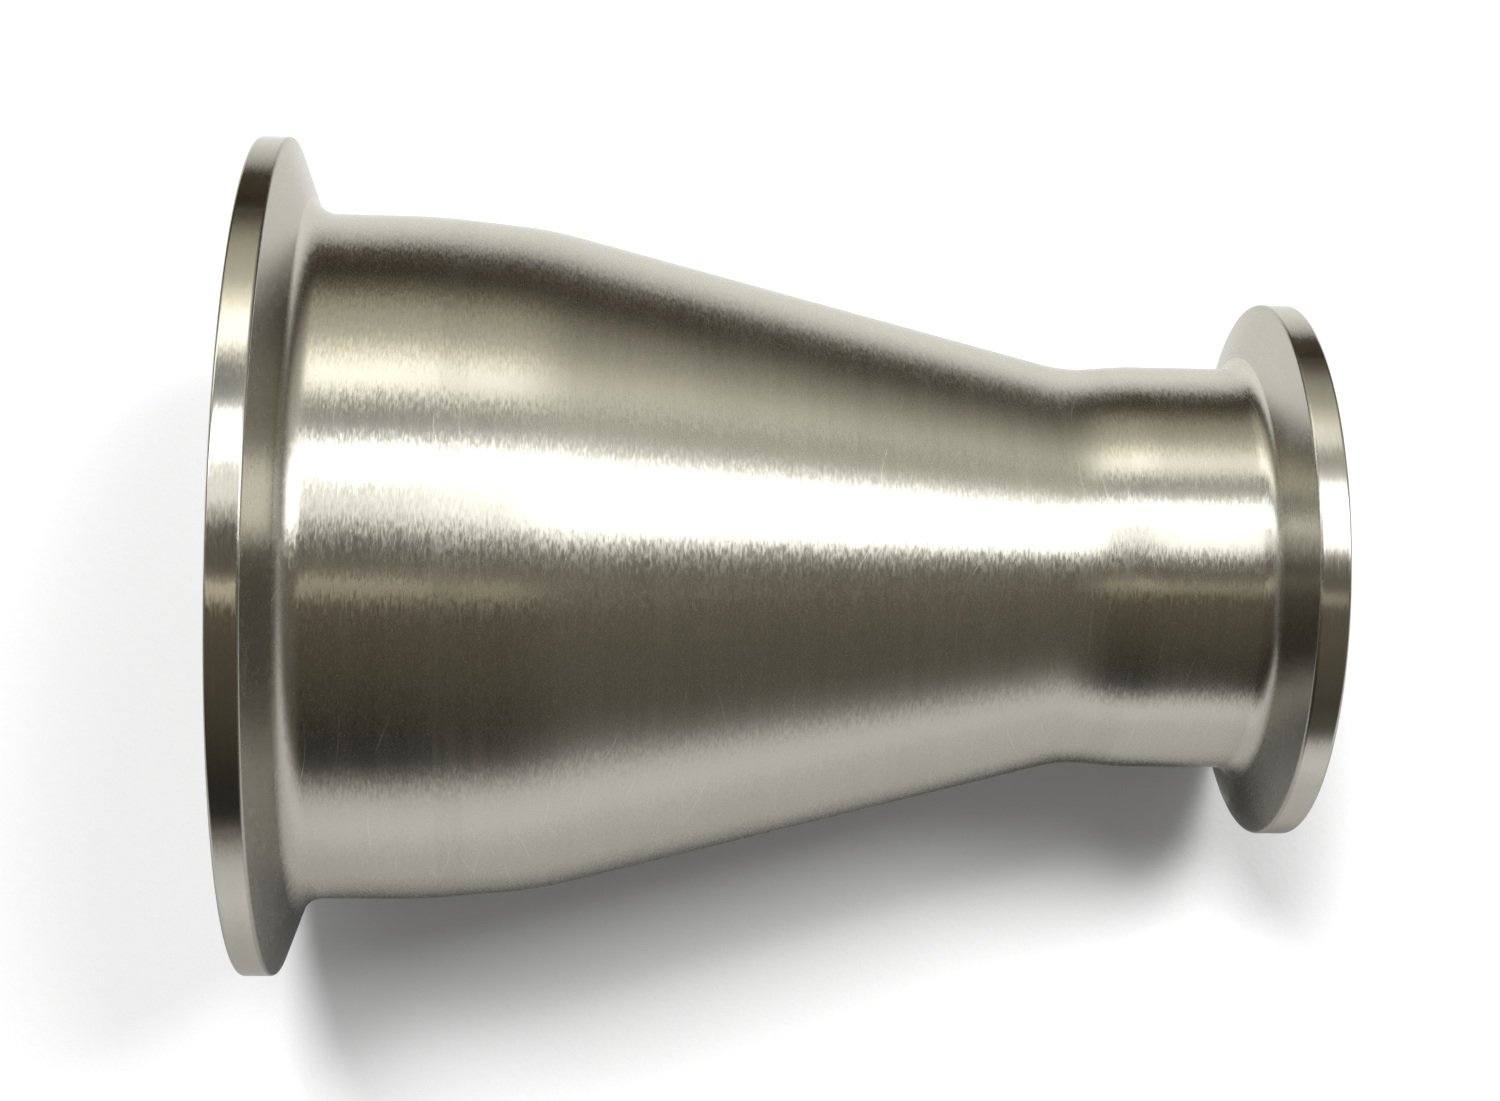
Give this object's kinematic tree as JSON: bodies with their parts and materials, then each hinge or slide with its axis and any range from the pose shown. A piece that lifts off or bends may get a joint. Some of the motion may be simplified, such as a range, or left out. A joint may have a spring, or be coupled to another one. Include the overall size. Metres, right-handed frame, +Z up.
{
  "type": "concentric reducer",
  "caption": "Stainless steel concentric reducer for hygienic pipework, with a clamp ferrule welded to each end of a tapered tube.",
  "frame": {"origin": "on the axis, midway between the two clamp faces", "axes": "+Y along the axis, from the large clamp face to the small one; +X and +Z are two equal radii, and +Z is up when the fitting lies on its side"},
  "size_m": [0.0776, 0.097, 0.0776],
  "materials": {
    "turned_steel": "fine turned and polished stainless steel",
    "brushed_tube": "stainless steel brushed round the axis",
    "ground_weld": "weld metal ground flush and brushed over"
  },
  "bodies": {
    "root": {"large_ferrule": "turned_steel", "large_weld_seam": "ground_weld", "reducer_body": "brushed_tube", "small_weld_seam": "ground_weld", "small_ferrule": "turned_steel"}
  },
  "joints": []
}
